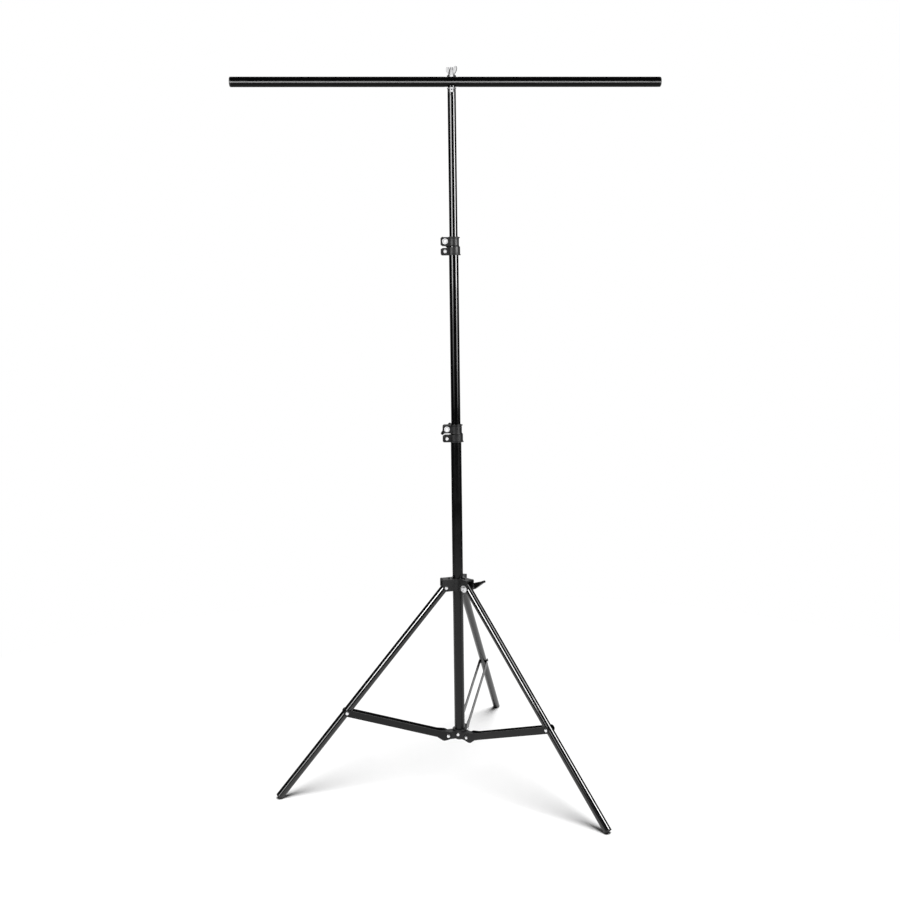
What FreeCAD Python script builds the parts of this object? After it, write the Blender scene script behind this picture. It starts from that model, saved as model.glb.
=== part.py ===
"""Backdrop stand: a three-section mast on a folding tripod base, carrying a round crossbar.

Frame: origin on the floor under the mast's axis, +X along the crossbar, +Z up, millimetres.
Each leg and its pieces are drawn in an upright plane of their own (local x outward, local z up)
and are turned about the mast by the leg's azimuth. The clamps and the spigot's fixings are drawn
facing -Y and are then turned about the mast with the stand, which stands a little askew to the bar.
"""
import FreeCAD, Part
import math
import os

import Sketcher
from FreeCAD import Placement, Rotation, Vector

DIMENSIONS = {
    "stand_turn": -3.9,
    # mast tubes
    "wall": 1.0,
    "base_r": 12.5,
    "middle_r": 11.0,
    "top_r": 9.5,
    "base_bottom": 94.0,
    "middle_bottom": 613.0,
    "top_bottom": 993.0,
    "top_end": 1613.5,
    "bush_gap": 0.05,
    "bush_length": 12.0,
    "bush_plug": 15.0,
    # clamp collars
    "lower_collar": 821.5,
    "upper_collar": 1253.5,
    "collar_height": 40.5,
    "collar_seam": 20.0,
    "collar_slit": 2.8,
    "collar_wall": 2.0,
    "socket_wall": 3.9,
    "liner": 1.0,
    "ear_reach": 20.3,
    "ear_half": 10.5,
    "ear_chamfer": 4.5,
    "ear_corner": 2.5,
    "ear_slit": 2.4,
    "ear_relief": 1.0,
    "bolt_out": 10.1,
    "bolt_up": 30.8,
    "screw_up": 8.4,
    "lock_bolt_r": 3.0,
    "lock_head_r": 6.9,
    "lock_head": 4.0,
    "screw_r": 2.0,
    "screw_head_r": 4.2,
    "screw_head": 2.8,
    "knob_hub_r": 6.6,
    "knob_hub": 9.5,
    "knob_long": 20.5,
    "knob_short": 14.0,
    "knob_bar_depth": 8.0,
    "lower_knob_turn": 230.0,
    "upper_knob_turn": -55.0,
    # legs and struts
    "back_azimuth": 72.27,
    "pivot_r": 32.0,
    "crown_pivot": 473.4,
    "hub_pivot": 103.9,
    "leg_tilt": 41.13,
    "leg_r": 9.25,
    "leg_above": 7.0,
    "leg_to_strut": 374.5,
    "leg_plug": 24.0,
    "foot_disc": 4.0,
    "foot_plug": 20.0,
    "foot_flat": 2.5,
    "side_gap": 0.3,
    "bar_thick": 1.4,
    "bar_half": 8.0,
    "knuckle_r": 12.2,
    "knuckle_out": 8.0,
    "knuckle_drop": 1.3,
    "knuckle_end_r": 9.5,
    "knuckle_blend": 27.0,
    "rivet_r": 2.5,
    "rivet_head_r": 4.2,
    "rivet_head": 2.2,
    "pin_gap": 0.07,
    # crown
    "crown_bottom": 464.5,
    "crown_height": 29.0,
    "crown_ring_r": 17.5,
    "crown_reach": 40.7,
    "crown_half": 12.7,
    "crown_roof": 3.0,
    "crown_liner_r": 14.0,
    "crown_slit": 2.5,
    "crown_pip_out": 21.5,
    "crown_pip_r": 2.2,
    "crown_pip": 2.6,
    "pivot_bolt_head_r": 8.8,
    "lever_hub": 13.0,
    "lever_length": 38.5,
    "lever_depth": 8.0,
    "lever_rise": 27.1,
    # lower hub
    "hub_bottom": 95.0,
    "hub_height": 22.0,
    "lug_half": 9.4,
    "lug_half_height": 9.2,
    "lug_reach": 43.0,
    "hub_rivet_up": 106.5,
    # crossbar and its mounting
    "bar_r": 11.1,
    "bar_axis": 1637.1,
    "bar_length": 971.4,
    "bar_shift": -8.5,
    "seat_r": 10.85,
    "seat_half": 16.0,
    "cap_r": 11.0,
    "cap_disc": 3.0,
    "cap_plug": 22.0,
    "stud_r": 4.0,
    "stud_top": 1668.5,
    "stud_depth": 16.0,
    "spigot_plug": 24.0,
    "spigot_rivet_r": 1.6,
    "set_screw_r": 1.5,
    "flange_r": 10.6,
    "flange_top": 1623.9,
    "saddle_r": 8.0,
    "washer_r": 10.4,
    "nut_base": 1650.5,
    "nut_height": 12.0,
    "nut_r": 7.4,
    "wing_span": 27.0,
    "wing_rise": 20.4,
    "wing_thick": 3.2,
    "wing_turn": -30.0,
}

AXIS_X = Vector(1, 0, 0)
AXIS_Y = Vector(0, 1, 0)
AXIS_Z = Vector(0, 0, 1)
FRONT = Vector(0, -1, 0)
THROUGH = 200.0

doc = FreeCAD.newDocument("backdrop_stand")
sheet = doc.addObject("Spreadsheet::Sheet", "dims")
for row, (alias, number) in enumerate(DIMENSIONS.items(), start=1):
    sheet.set(f"A{row}", alias)
    sheet.set(f"B{row}", str(number))
    sheet.setAlias(f"B{row}", alias)
doc.recompute()


class Size:
    """A length worked out from spreadsheet cells: its value now and the expression for it."""

    def __init__(self, value, text):
        self.value = value
        self.text = text

    def __add__(self, other):
        other = size(other)
        return Size(self.value + other.value, f"({self.text} + {other.text})")

    def __sub__(self, other):
        other = size(other)
        return Size(self.value - other.value, f"({self.text} - {other.text})")

    def __mul__(self, other):
        other = size(other)
        return Size(self.value * other.value, f"({self.text} * {other.text})")

    def __truediv__(self, other):
        other = size(other)
        return Size(self.value / other.value, f"({self.text} / {other.text})")

    def __neg__(self):
        return Size(-self.value, f"(0 - {self.text})")

    def __radd__(self, other):
        return size(other) + self

    def __rsub__(self, other):
        return size(other) - self

    def __rmul__(self, other):
        return size(other) * self


def size(number):
    """Wrap a plain number so that it can be mixed with cells."""
    if isinstance(number, Size):
        return number
    return Size(float(number), repr(float(number)))


class Cells:
    """Reads a driving dimension by its alias."""

    def __getattr__(self, alias):
        return Size(DIMENSIONS[alias], f"dims.{alias}")


D = Cells()


def bind(thing, prop, number):
    """Tie a property to the spreadsheet."""
    number = size(number)
    if "dims." in number.text:
        thing.setExpression(prop, number.text)
    else:
        setattr(thing, prop, number.value)


def sine(angle):
    return Size(math.sin(math.radians(angle.value)), f"sin({angle.text} * 1 deg)")


def cosine(angle):
    return Size(math.cos(math.radians(angle.value)), f"cos({angle.text} * 1 deg)")


# ---------------------------------------------------------------- primitives and booleans


def rod(name, radius, low, high):
    """An upright cylinder on the local z axis, from low to high."""
    solid = doc.addObject("Part::Cylinder", name)
    bind(solid, "Radius", radius)
    bind(solid, "Height", size(high) - low)
    solid.setExpression("Placement.Base.z", size(low).text)
    return solid


def drill(name, radius, length, place):
    """A cylinder that starts at a place and runs along its z axis."""
    solid = doc.addObject("Part::Cylinder", name)
    bind(solid, "Radius", radius)
    bind(solid, "Height", length)
    solid.Placement = place
    return solid


def cross_rod(name, radius, half, x, z):
    """A cylinder along the local y axis through (x, z), half its length each side."""
    solid = doc.addObject("Part::Cylinder", name)
    bind(solid, "Radius", radius)
    bind(solid, "Height", 2 * size(half))
    solid.Placement = Placement(Vector(0, 0, 0), Rotation(AXIS_X, -90))
    for axis, number in (("x", size(x)), ("y", -size(half)), ("z", size(z))):
        solid.setExpression(f"Placement.Base.{axis}", number.text)
    return solid


def long_rod(name, radius, left, right, z):
    """A cylinder along the x axis at height z, from left to right."""
    solid = doc.addObject("Part::Cylinder", name)
    bind(solid, "Radius", radius)
    bind(solid, "Height", size(right) - left)
    solid.Placement = Placement(Vector(0, 0, 0), Rotation(AXIS_Y, 90))
    for axis, number in (("x", size(left)), ("z", size(z))):
        solid.setExpression(f"Placement.Base.{axis}", number.text)
    return solid


def fuse(name, shapes):
    joined = doc.addObject("Part::MultiFuse", name)
    joined.Shapes = shapes
    joined.Refine = True
    return joined


def cut(name, base, tools):
    """Cut one or more tools from the base."""
    result = doc.addObject("Part::Cut", name)
    result.Base = base
    result.Tool = tools[0] if len(tools) == 1 else fuse(f"{name}_tools", tools)
    result.Refine = True
    return result


def group(name, shapes):
    """Identical loose pieces that share one node."""
    together = doc.addObject("Part::Compound", name)
    together.Links = shapes
    return together


# ---------------------------------------------------------------- sketches and bodies


def new_body(name):
    made = doc.addObject("PartDesign::Body", name)
    made.Label = name
    return made


def origin_part(body, role):
    return next(f for f in body.Origin.OriginFeatures if f.Role == role)


def new_sketch(body, name, plane):
    sketch = body.newObject("Sketcher::SketchObject", name)
    sketch.AttachmentSupport = (origin_part(body, plane), "")
    sketch.MapMode = "FlatFace"
    return sketch


def limit(sketch, kind, first, number):
    """Add a dimension constraint and tie it to the spreadsheet."""
    index = sketch.addConstraint(Sketcher.Constraint(kind, *first, number.value))
    if "dims." in number.text:
        sketch.setExpression(f"Constraints[{index}]", number.text)


def locate(sketch, geo, pos, x, y):
    """Hold a point of the sketch at (x, y) from its origin."""
    for kind, axis, number in (("DistanceX", -2, size(x)), ("DistanceY", -1, size(y))):
        if abs(number.value) < 1e-7:
            sketch.addConstraint(Sketcher.Constraint("PointOnObject", geo, pos, axis))
        elif number.value > 0:
            limit(sketch, kind, (-1, 1, geo, pos), number)
        else:
            limit(sketch, kind, (geo, pos, -1, 1), -number)


def polygon(sketch, corners):
    """A closed outline of straight lines, each corner dimensioned from the origin."""
    points = [(size(x), size(y)) for x, y in corners]
    places = [Vector(x.value, y.value, 0) for x, y in points]
    first = sketch.GeometryCount
    count = len(points)
    for index in range(count):
        line = Part.LineSegment(places[index], places[(index + 1) % count])
        sketch.addGeometry(line, False)
    for index in range(count):
        following = first + (index + 1) % count
        sketch.addConstraint(Sketcher.Constraint("Coincident", first + index, 2, following, 1))
    for index, (x, y) in enumerate(points):
        locate(sketch, first + index, 1, x, y)


def circle(sketch, x, y, radius):
    x, y, radius = size(x), size(y), size(radius)
    centre = Vector(x.value, y.value, 0)
    geo = sketch.addGeometry(Part.Circle(centre, AXIS_Z, radius.value), False)
    limit(sketch, "Radius", (geo,), radius)
    locate(sketch, geo, 3, x, y)


def extrude(body, kind, name, sketch, length, symmetric=False, reverse=False):
    """A Pad or a Pocket."""
    feature = body.newObject(f"PartDesign::{kind}", name)
    feature.Profile = sketch
    feature.SideType = "Symmetric" if symmetric else "One side"
    feature.Reversed = reverse
    bind(feature, "Length", length)
    return feature


def spin(body, kind, name, sketch):
    """A Revolution or a Groove about the body's z axis."""
    feature = body.newObject(f"PartDesign::{kind}", name)
    feature.Profile = sketch
    feature.ReferenceAxis = (sketch, ["V_Axis"])
    feature.Angle = 360
    return feature


def turned(name, outline):
    """A turned piece: the outline holds (radius, z) corners."""
    body = new_body(name)
    sketch = new_sketch(body, f"{name}_outline", "XZ_Plane")
    polygon(sketch, outline)
    spin(body, "Revolution", f"{name}_turn", sketch)
    return body


def dress(body, kind, name, amount, wanted):
    """A Fillet or Chamfer on the edges of the body's tip that wanted(edge) picks."""
    doc.recompute()
    tip = body.Tip
    edges = tip.Shape.Edges
    names = [f"Edge{number + 1}" for number, edge in enumerate(edges) if wanted(edge)]
    if not names:
        raise RuntimeError(f"{name}: no edge matches")
    feature = body.newObject(f"PartDesign::{kind}", name)
    feature.Base = (tip, names)
    bind(feature, "Radius" if kind == "Fillet" else "Size", amount)
    doc.recompute()
    return feature


def is_circle(edge, radius, z=None):
    """Is the edge a full circle of this radius, at height z where one is given?"""
    curve = edge.Curve
    if not isinstance(curve, Part.Circle) or abs(curve.Radius - radius) > 1e-4:
        return False
    return z is None or abs(curve.Center.z - z) < 1e-4


def is_level_line(edge):
    """Is the edge a straight horizontal line?"""
    start, end = edge.Vertexes[0].Point, edge.Vertexes[-1].Point
    return isinstance(edge.Curve, Part.Line) and abs(start.z - end.z) < 1e-4


def is_upright(edge, x=None, y=None):
    """Is the edge a straight line along z, at |x| or |y| where they are given?"""
    if not isinstance(edge.Curve, Part.Line):
        return False
    start, end = edge.Vertexes[0].Point, edge.Vertexes[-1].Point
    if abs(start.x - end.x) > 1e-4 or abs(start.y - end.y) > 1e-4:
        return False
    near_x = x is None or abs(abs(start.x) - x) < 1e-3
    near_y = y is None or abs(abs(start.y) - y) < 1e-3
    return near_x and near_y


# ---------------------------------------------------------------- places


def facing(point, direction, turn=0.0):
    """Stand a piece made along local z on a point, pointing in a direction."""
    aim = Rotation(AXIS_Z, direction) * Rotation(AXIS_Z, turn)
    return Placement(point, aim)


def round_mast(azimuth, radius=0.0, z=0.0):
    """The frame of an upright plane through the mast: local x points outward."""
    spot = Rotation(AXIS_Z, azimuth).multVec(Vector(radius, 0, 0))
    return Placement(spot + Vector(0, 0, z), Rotation(AXIS_Z, azimuth))


def tilted(azimuth, radius, z, angle):
    """The same frame at a pivot, tilted about its own y axis."""
    tilt = Placement(Vector(0, 0, 0), Rotation(AXIS_Y, angle))
    return round_mast(azimuth, radius, z) * tilt


# ---------------------------------------------------------------- linkage geometry

BACK = D.back_azimuth.value
AZIMUTHS = {"back": BACK, "left": BACK + 120.0, "right": BACK - 120.0}
TILT = D.leg_tilt
STAND = Placement(Vector(0, 0, 0), Rotation(AXIS_Z, D.stand_turn.value))

strut_run = D.leg_to_strut * sine(TILT)
strut_rise = D.crown_pivot - D.leg_to_strut * cosine(TILT) - D.hub_pivot
STRUT_LENGTH = Size(
    math.hypot(strut_run.value, strut_rise.value),
    f"sqrt({strut_run.text} ^ 2 + {strut_rise.text} ^ 2)",
)
STRUT_ANGLE = math.degrees(math.atan2(strut_rise.value, strut_run.value))
CROWN_TRAVEL = D.leg_to_strut.value + STRUT_LENGTH.value - (D.crown_pivot - D.hub_pivot).value
LEG_LENGTH = (D.crown_pivot - D.leg_r * sine(TILT) + D.foot_flat) / cosine(TILT)
PIN_HOLE = D.rivet_r + D.pin_gap
BOLT_HOLE = D.lock_bolt_r + D.pin_gap
BAR_INNER = D.leg_r + D.side_gap
BAR_OUTER = BAR_INNER + D.bar_thick
NUT_SLEEVE_R = D.lock_bolt_r + 1.8
NUT_SLEEVE = D.knob_hub - 2.0
SPIGOT_RIVET_Z = D.top_end - 6.0
SPIGOT_RIVET_DEPTH = D.stud_r + 1.6
SET_SCREW_Z = D.top_end + 5.4
SET_SCREW_DEPTH = D.stud_r + D.bush_gap


# ---------------------------------------------------------------- mast


def tube(name, radius, low, high):
    """A round steel tube on the mast's axis."""
    outer = rod(f"{name}_outside", radius, low, high)
    inner = rod(f"{name}_inside", size(radius) - D.wall, size(low) - 1, size(high) + 1)
    return cut(name, outer, [inner])


def make_base_tube():
    """The outer tube, drilled for the lower hub's three fixing rivets."""
    outer = rod("base_tube_outside", D.base_r, D.base_bottom, D.lower_collar + D.collar_seam)
    inner = rod("base_tube_inside", D.base_r - D.wall, D.base_bottom - 1, D.lower_collar + D.collar_height)
    holes = []
    for side, azimuth in AZIMUTHS.items():
        place = facing(Vector(0, 0, D.hub_rivet_up.value), rivet_direction(azimuth))
        holes.append(drill(f"base_tube_hole_{side}", D.screw_r + D.pin_gap, D.base_r + 5, place))
    return cut("base_tube", outer, [inner] + holes)


def rivet_direction(azimuth):
    """Outward, half way between two legs."""
    angle = math.radians(azimuth + 60.0)
    return Vector(math.cos(angle), math.sin(angle), 0)


def make_bush(name, tube_r, outer_tube_r, tube_bottom):
    """A plastic guide pressed into the lower end of an inner tube."""
    guide_r = outer_tube_r - D.wall - D.bush_gap
    plug_r = tube_r - D.wall - D.bush_gap
    bore_r = plug_r - 2.0
    low = tube_bottom - D.bush_length
    high = tube_bottom + D.bush_plug
    outline = [
        (bore_r, low),
        (guide_r - 0.8, low),
        (guide_r, low + 0.8),
        (guide_r, tube_bottom),
        (plug_r, tube_bottom),
        (plug_r, high - 1.0),
        (plug_r - 1.0, high),
        (bore_r, high),
    ]
    return turned(name, outline)


def make_base_end_plug():
    plug_r = D.base_r - D.wall - D.bush_gap
    outline = [
        (0, D.base_bottom - 2.5),
        (D.base_r - 1.2, D.base_bottom - 2.5),
        (D.base_r, D.base_bottom - 1.3),
        (D.base_r, D.base_bottom),
        (plug_r, D.base_bottom),
        (plug_r, D.base_bottom + 8.0),
        (0, D.base_bottom + 8.0),
    ]
    return turned("base_end_plug", outline)


# ---------------------------------------------------------------- clamp collars


def make_collar(name, outer_r, inner_r, z):
    """A split collar: its lower half grips the outer tube, its upper half clamps the inner one."""
    body = new_body(name)
    top = D.collar_height
    seam = D.collar_seam
    socket_r = outer_r + D.socket_wall
    clamp_r = inner_r + D.liner + D.collar_wall

    shell = new_sketch(body, f"{name}_shell_outline", "XZ_Plane")
    outline = [
        (0, 0),
        (socket_r + 1.4, 0),
        (socket_r + 1.4, 1.4),
        (socket_r, 2.6),
        (socket_r, seam - 1.5),
        (clamp_r + 0.6, seam + 0.8),
        (clamp_r, seam + 2.0),
        (clamp_r, top - 3.0),
        (clamp_r + 2.0, top - 1.6),
        (clamp_r + 2.0, top),
        (0, top),
    ]
    polygon(shell, outline)
    spin(body, "Revolution", f"{name}_shell", shell)

    reach = inner_r + D.ear_reach
    corner = D.ear_corner
    nick = D.ear_chamfer
    slit_low = seam - D.collar_slit
    upper_ear_low = seam + D.ear_relief
    lower_ear_top = slit_low - D.ear_relief
    upper_ear = [
        (0, upper_ear_low),
        (nick - reach, upper_ear_low),
        (-reach, upper_ear_low + nick * 0.6),
        (-reach, top - corner),
        (corner - reach, top),
        (0, top),
    ]
    lower_ear = [
        (0, 0),
        (corner - reach, 0),
        (-reach, corner),
        (-reach, lower_ear_top - nick * 0.6),
        (nick - reach, lower_ear_top),
        (0, lower_ear_top),
    ]
    for part, ear in (("upper_ear", upper_ear), ("lower_ear", lower_ear)):
        sketch = new_sketch(body, f"{name}_{part}_outline", "XZ_Plane")
        polygon(sketch, ear)
        extrude(body, "Pad", f"{name}_{part}", sketch, 2 * D.ear_half, symmetric=True)
    ear_edge = (D.ear_half).value
    dress(
        body,
        "Fillet",
        f"{name}_soft_ears",
        1.0,
        lambda edge: isinstance(edge.Curve, Part.Line)
        and all(abs(abs(v.Point.y) - ear_edge) < 1e-3 for v in edge.Vertexes)
        and all(v.Point.x < -(clamp_r.value + 1.5) for v in edge.Vertexes),
    )

    bore = new_sketch(body, f"{name}_bore_outline", "XZ_Plane")
    polygon(
        bore,
        [
            (0, -1),
            (outer_r + D.bush_gap, -1),
            (outer_r + D.bush_gap, seam),
            (inner_r + D.liner + D.bush_gap, seam),
            (inner_r + D.liner + D.bush_gap, top + 1),
            (0, top + 1),
        ],
    )
    spin(body, "Groove", f"{name}_bore", bore)

    half_slit = D.ear_slit / 2
    upright = new_sketch(body, f"{name}_slit_outline", "XY_Plane")
    polygon(upright, [(-60, -half_slit), (0, -half_slit), (0, half_slit), (-60, half_slit)])
    extrude(body, "Pocket", f"{name}_slit", upright, THROUGH, symmetric=True)

    level = new_sketch(body, f"{name}_level_slit_outline", "XZ_Plane")
    polygon(level, [(-60, slit_low), (-2, slit_low), (-2, seam), (-60, seam)])
    extrude(body, "Pocket", f"{name}_level_slit", level, THROUGH, symmetric=True)

    bolt_x = -(inner_r + D.bolt_out)
    holes = new_sketch(body, f"{name}_hole_outline", "XZ_Plane")
    circle(holes, bolt_x, D.bolt_up, BOLT_HOLE)
    circle(holes, bolt_x, D.screw_up, D.screw_r + D.pin_gap)
    extrude(body, "Pocket", f"{name}_holes", holes, THROUGH, symmetric=True)
    body.Placement = STAND * Placement(Vector(0, 0, z.value), Rotation())
    return body


def make_clamp_liner(name, inner_r, z):
    """A thin plastic sleeve between the collar and the sliding tube."""
    low = z + D.collar_seam + 0.1
    high = z + D.collar_height + 1.2
    inside = inner_r + D.bush_gap
    outside = inner_r + D.liner
    rim = outside + 0.9
    step = z + D.collar_height + 0.1
    outline = [(inside, low), (outside, low), (outside, step), (rim, step), (rim, high), (inside, high)]
    return turned(name, outline)


def hexagon(corner_r):
    """The corners of a hexagon of this radius."""
    turns = [math.radians(60 * number) for number in range(6)]
    return [(corner_r * math.cos(turn), corner_r * math.sin(turn)) for turn in turns]


def socket_screw(name, shank_r, head_r, head, length):
    """A flanged cap screw standing along local z: the flange's seat is at z = 0, the shank runs down."""
    body = new_body(name)
    sketch = new_sketch(body, f"{name}_outline", "XZ_Plane")
    flange = head * 0.45
    cap_r = head_r * 0.7
    outline = [
        (0, -length),
        (shank_r - 0.5, -length),
        (shank_r, -length + 0.5),
        (shank_r, 0),
        (head_r, 0),
        (head_r, flange * 0.5),
        (head_r - 0.6, flange),
        (cap_r, flange),
        (cap_r, head),
        (0, head),
    ]
    polygon(sketch, outline)
    spin(body, "Revolution", f"{name}_turn", sketch)
    rim_r, rim_z = cap_r.value, head.value
    dress(body, "Fillet", f"{name}_dome", head * 0.35, lambda edge: is_circle(edge, rim_r, rim_z))
    socket = new_sketch(body, f"{name}_socket_outline", "XY_Plane")
    socket.AttachmentOffset = Placement(Vector(0, 0, head.value), Rotation())
    polygon(socket, hexagon(head_r * 0.33))
    extrude(body, "Pocket", f"{name}_socket", socket, head * 0.4)
    return body


def hex_nut(name, corner_r, bore_r, height):
    """A hexagon nut from z = 0 up."""
    body = new_body(name)
    sketch = new_sketch(body, f"{name}_outline", "XY_Plane")
    polygon(sketch, hexagon(corner_r))
    circle(sketch, 0, 0, bore_r)
    extrude(body, "Pad", f"{name}_pad", sketch, height)
    return body


def make_knob(name):
    """A T-handled clamp knob along local z: its hub starts at z = 0, its longer arm lies along x."""
    body = new_body(name)
    hub = new_sketch(body, f"{name}_hub_outline", "XZ_Plane")
    top = D.knob_hub
    polygon(
        hub,
        [(0, 0), (D.knob_hub_r - 1.0, 0), (D.knob_hub_r, 1.2), (D.knob_hub_r - 0.6, top + 2), (0, top + 2)],
    )
    spin(body, "Revolution", f"{name}_hub", hub)
    bar = new_sketch(body, f"{name}_bar_outline", "XY_Plane")
    bar.AttachmentOffset = Placement(Vector(0, 0, top.value), Rotation())
    long_arm, short_arm = D.knob_long, D.knob_short
    polygon(
        bar,
        [
            (-short_arm, -2.9),
            (-short_arm + 3.0, -3.6),
            (0, -5.6),
            (long_arm - 3.0, -3.6),
            (long_arm, -2.9),
            (long_arm, 2.9),
            (long_arm - 3.0, 3.6),
            (0, 5.6),
            (-short_arm + 3.0, 3.6),
            (-short_arm, 2.9),
        ],
    )
    extrude(body, "Pad", f"{name}_bar", bar, D.knob_bar_depth)
    for end, reach in (("long", long_arm.value), ("short", short_arm.value)):
        dress(body, "Fillet", f"{name}_{end}_end", 2.4, lambda edge: is_upright(edge, x=reach))
    far = (top + D.knob_bar_depth).value
    dress(
        body,
        "Fillet",
        f"{name}_grip",
        1.4,
        lambda edge: all(abs(v.Point.z - far) < 1e-3 for v in edge.Vertexes),
    )
    bore = new_sketch(body, f"{name}_bore_outline", "XY_Plane")
    circle(bore, 0, 0, BOLT_HOLE)
    extrude(body, "Pocket", f"{name}_bore", bore, 13.5, reverse=True)
    seat = new_sketch(body, f"{name}_seat_outline", "XY_Plane")
    circle(seat, 0, 0, NUT_SLEEVE_R + D.bush_gap)
    extrude(body, "Pocket", f"{name}_seat", seat, NUT_SLEEVE, reverse=True)
    return body


def make_knob_insert(name):
    """The threaded steel sleeve moulded into a knob, from z = 0 up."""
    inside = BOLT_HOLE
    outline = [(inside, 0), (NUT_SLEEVE_R, 0), (NUT_SLEEVE_R, NUT_SLEEVE), (inside, NUT_SLEEVE)]
    return turned(name, outline)


def make_clamp(side, outer_r, inner_r, z, knob_turn):
    """One clamp: collar, liner, lock bolt, knob with its insert, fixing screw and nut."""
    make_collar(f"{side}_clamp_collar", outer_r, inner_r, z)
    make_clamp_liner(f"{side}_clamp_liner", inner_r, z)
    bolt_x = -(inner_r + D.bolt_out).value
    face = D.ear_half.value

    ears = 2 * D.ear_half

    bolt = socket_screw(f"{side}_clamp_bolt", D.lock_bolt_r, D.lock_head_r, D.lock_head, ears + 12.5)
    bolt_z = (z + D.bolt_up).value
    bolt.Placement = STAND * facing(Vector(bolt_x, -face, bolt_z), FRONT)

    screw = socket_screw(f"{side}_clamp_screw", D.screw_r, D.screw_head_r, D.screw_head, ears + 3.2)
    screw_z = (z + D.screw_up).value
    screw.Placement = STAND * facing(Vector(bolt_x, -face, screw_z), FRONT)

    nut = hex_nut(f"{side}_clamp_nut", D.screw_r * 2, D.screw_r + D.pin_gap, 3.0)
    nut.Placement = STAND * facing(Vector(bolt_x, face, screw_z), AXIS_Y)

    seat = Vector(bolt_x, face + D.side_gap.value, bolt_z)
    for piece in (make_knob(f"{side}_clamp_knob"), make_knob_insert(f"{side}_clamp_knob_insert")):
        piece.Placement = STAND * facing(seat, AXIS_Y, -knob_turn.value)


# ---------------------------------------------------------------- crown and its lock


def make_crown():
    """The sliding crown: a split ring with three roofed clevises for the legs."""
    body = new_body("crown_casting")
    ring = new_sketch(body, "crown_ring_outline", "XY_Plane")
    circle(ring, 0, 0, D.crown_ring_r)
    extrude(body, "Pad", "crown_ring", ring, D.crown_height)

    reach = D.crown_reach
    top = D.crown_height
    pivot_up = D.crown_pivot - D.crown_bottom
    lug = new_sketch(body, "crown_lug_outline", "XZ_Plane")
    nose = [(reach - 6.5, 0), (reach, 10.0), (reach, top - 1.5), (reach - 1.5, top)]
    polygon(lug, [(0, 0), *nose, (0, top)])
    lug_pad = extrude(body, "Pad", "crown_lug", lug, 2 * D.crown_half, symmetric=True)

    channel = new_sketch(body, "crown_channel_outline", "XZ_Plane")
    ceiling = top - D.crown_roof
    polygon(channel, [(D.crown_ring_r, -5), (60, -5), (60, ceiling), (D.crown_ring_r, ceiling)])
    channel_cut = extrude(body, "Pocket", "crown_channel", channel, 2 * BAR_INNER, symmetric=True)

    pivot = new_sketch(body, "crown_pivot_outline", "XZ_Plane")
    circle(pivot, D.pivot_r, pivot_up, D.rivet_r + D.bush_gap)
    pivot_cut = extrude(body, "Pocket", "crown_pivot_holes", pivot, THROUGH, symmetric=True)

    pip = new_sketch(body, "crown_pip_outline", "XY_Plane")
    circle(pip, D.crown_pip_out, 0, D.crown_pip_r)
    pip_pad = extrude(body, "Pad", "crown_pip", pip, top + D.crown_pip)
    below = new_sketch(body, "crown_pip_trim_outline", "XY_Plane")
    circle(below, D.crown_pip_out, 0, D.crown_pip_r)
    pip_trim = extrude(body, "Pocket", "crown_pip_trim", below, ceiling, reverse=True)

    pattern = body.newObject("PartDesign::PolarPattern", "crown_three_lugs")
    pattern.Originals = [lug_pad, channel_cut, pivot_cut, pip_pad, pip_trim]
    pattern.Axis = (origin_part(body, "Z_Axis"), [""])
    pattern.Angle = 360
    pattern.Occurrences = 3
    body.Tip = pattern
    half = D.crown_half.value
    top_z = top.value

    def is_lug_rim(edge):
        """Straight top edges along the lugs' outside faces, away from the ring."""
        if not isinstance(edge.Curve, Part.Line):
            return False
        if not all(abs(v.Point.z - top_z) < 1e-3 for v in edge.Vertexes):
            return False
        middle = edge.CenterOfMass
        for azimuth in (0, 120, 240):
            local = Rotation(AXIS_Z, -azimuth).multVec(middle)
            if local.x > 20 and abs(abs(local.y) - half) < 1e-3:
                return True
        return False

    dress(body, "Fillet", "crown_soft_rim", 1.2, is_lug_rim)

    bore = new_sketch(body, "crown_bore_outline", "XY_Plane")
    circle(bore, 0, 0, D.crown_liner_r + D.bush_gap)
    extrude(body, "Pocket", "crown_bore", bore, THROUGH, symmetric=True)

    slit = new_sketch(body, "crown_slit_outline", "XY_Plane")
    half_slit = D.crown_slit / 2
    inside = D.crown_ring_r + 1.0
    polygon(slit, [(0, -half_slit), (inside, -half_slit), (inside, half_slit), (0, half_slit)])
    extrude(body, "Pocket", "crown_slit", slit, THROUGH, symmetric=True)

    bolt = new_sketch(body, "crown_bolt_outline", "XZ_Plane")
    circle(bolt, D.pivot_r, pivot_up, BOLT_HOLE)
    extrude(body, "Pocket", "crown_bolt_hole", bolt, THROUGH, symmetric=True)
    body.Placement = round_mast(AZIMUTHS["right"], 0, D.crown_bottom.value)
    return body


def make_crown_liner():
    inside = D.base_r + D.bush_gap
    low = D.crown_bottom - 1.0
    high = D.crown_bottom + D.crown_height
    outside = D.crown_liner_r
    rim = outside + 1.2
    top = high + 1.2
    outline = [(inside, low), (outside, low), (outside, high), (rim, high), (rim, top), (inside, top)]
    return turned("crown_liner", outline)


def rivet(name, half):
    """A two-headed rivet centred on the origin along local z; half is half the grip."""
    head_r = D.rivet_head_r
    end = half + D.rivet_head
    outline = [
        (0, -end),
        (head_r * 0.55, -end),
        (head_r * 0.9, -half - D.rivet_head * 0.55),
        (head_r, -half),
        (D.rivet_r, -half),
        (D.rivet_r, half),
        (head_r, half),
        (head_r * 0.9, half + D.rivet_head * 0.55),
        (head_r * 0.55, end),
        (0, end),
    ]
    return turned(name, outline)


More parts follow.
